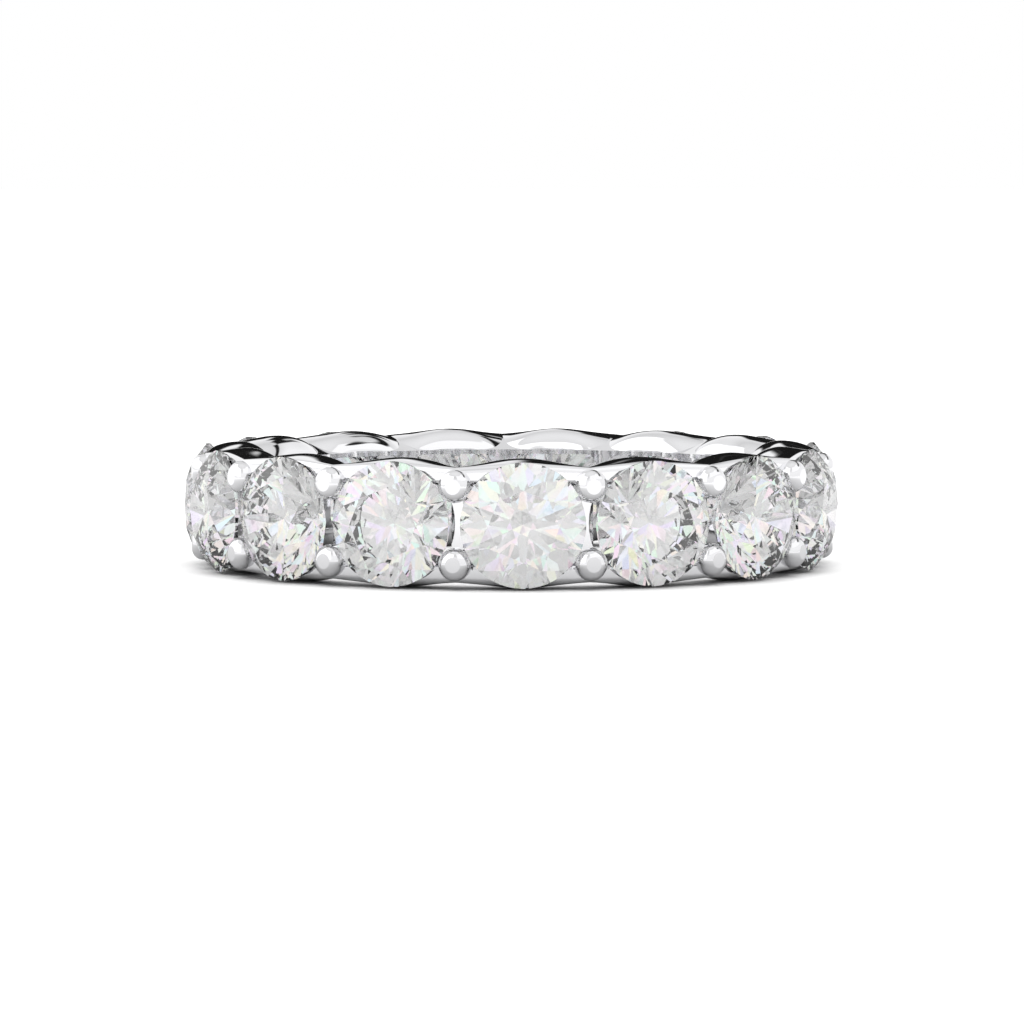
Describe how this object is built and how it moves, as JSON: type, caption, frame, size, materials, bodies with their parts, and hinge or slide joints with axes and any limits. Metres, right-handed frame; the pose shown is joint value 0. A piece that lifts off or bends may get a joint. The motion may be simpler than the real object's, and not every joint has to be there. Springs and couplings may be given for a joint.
{
  "type": "eternity ring",
  "caption": "White metal finger ring with a full circle of round brilliant stones held by shared prongs between two scalloped rails.",
  "frame": {"origin": "centre of the finger hole, on the plane that the lower rail rests on", "axes": "+Z along the finger hole, up as the ring lies on its side; -Y through the middle of stone_01"},
  "size_m": [0.0226, 0.0224, 0.0042],
  "materials": {
    "white_gold": "mirror polish, rhodium plated",
    "diamond": "polished facets, colourless"
  },
  "bodies": {
    "root": {"setting": "white_gold", "stone_01": "diamond", "stone_02": "diamond", "stone_03": "diamond", "stone_04": "diamond", "stone_05": "diamond", "stone_06": "diamond", "stone_07": "diamond", "stone_08": "diamond", "stone_09": "diamond", "stone_10": "diamond", "stone_11": "diamond", "stone_12": "diamond", "stone_13": "diamond", "stone_14": "diamond", "stone_15": "diamond"}
  },
  "joints": []
}
